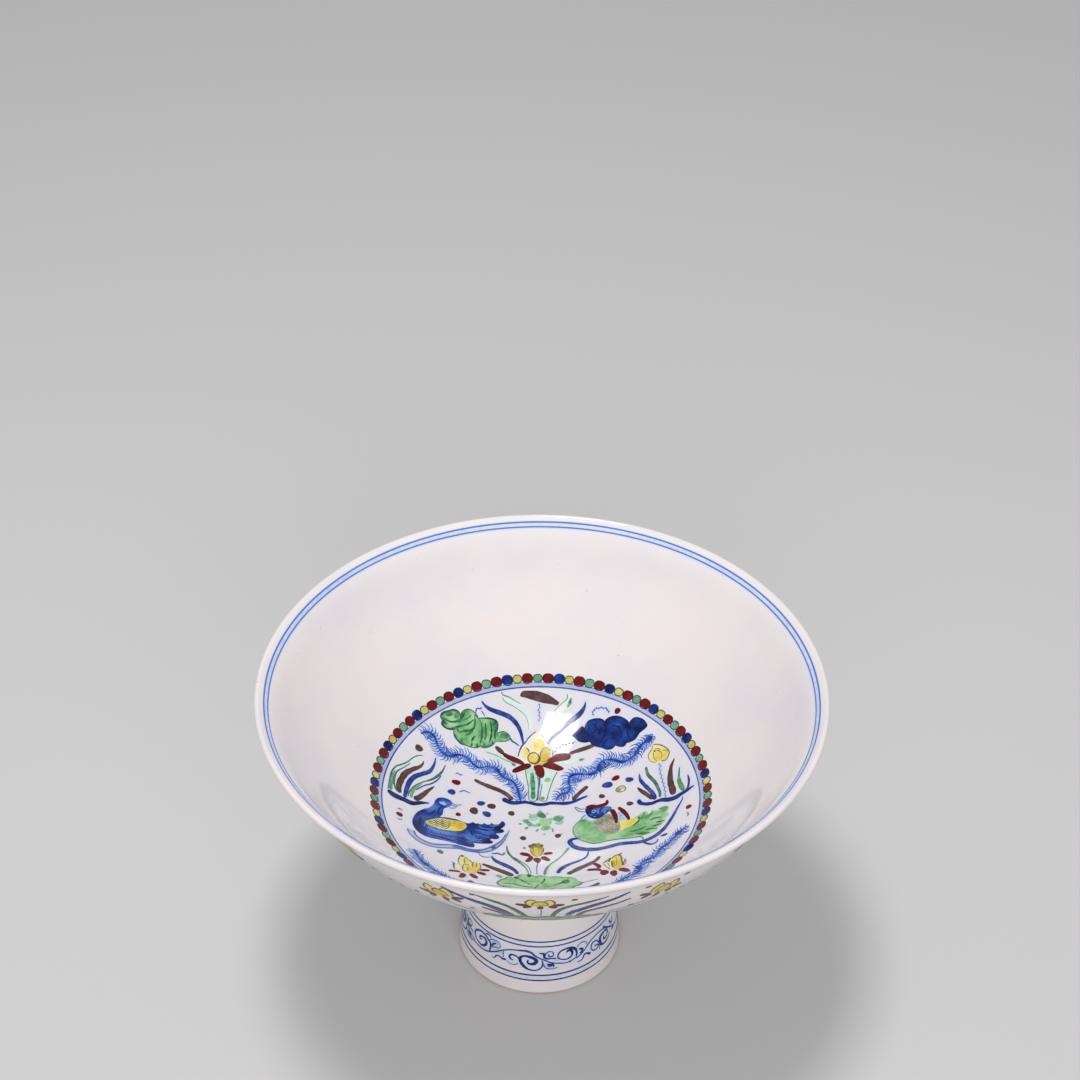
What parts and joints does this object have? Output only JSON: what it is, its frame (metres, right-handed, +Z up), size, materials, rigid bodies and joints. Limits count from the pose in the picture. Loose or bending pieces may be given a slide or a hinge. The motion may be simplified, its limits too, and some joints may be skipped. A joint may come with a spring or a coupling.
{
  "type": "stem bowl",
  "caption": "Porcelain stem bowl: open rounded bowl with an everted rim on a hollow spreading foot, painted with a lotus pond and a scroll.",
  "frame": {"origin": "middle of the foot's resting ring, on the surface that the bowl stands on", "axes": "+Z up along the axis of the bowl and foot, +Y away from the pictured side"},
  "size_m": [0.17, 0.17, 0.105],
  "materials": {
    "porcelain": "clear glossy glaze over white porcelain",
    "luting_slip": "glazed over, slightly softer gloss",
    "biscuit": "unglazed, matt, fired a pale orange",
    "underglaze_blue": "cobalt under a glossy glaze",
    "iron_red": "overglaze enamel, satin",
    "green_enamel": "overglaze enamel, glossy and translucent",
    "yellow_enamel": "overglaze enamel, glossy and translucent",
    "brown_enamel": "overglaze enamel, glossy"
  },
  "bodies": {
    "root": {"bowl_body": "porcelain", "stem_foot": "porcelain", "luting_joint": "luting_slip"}
  },
  "joints": []
}
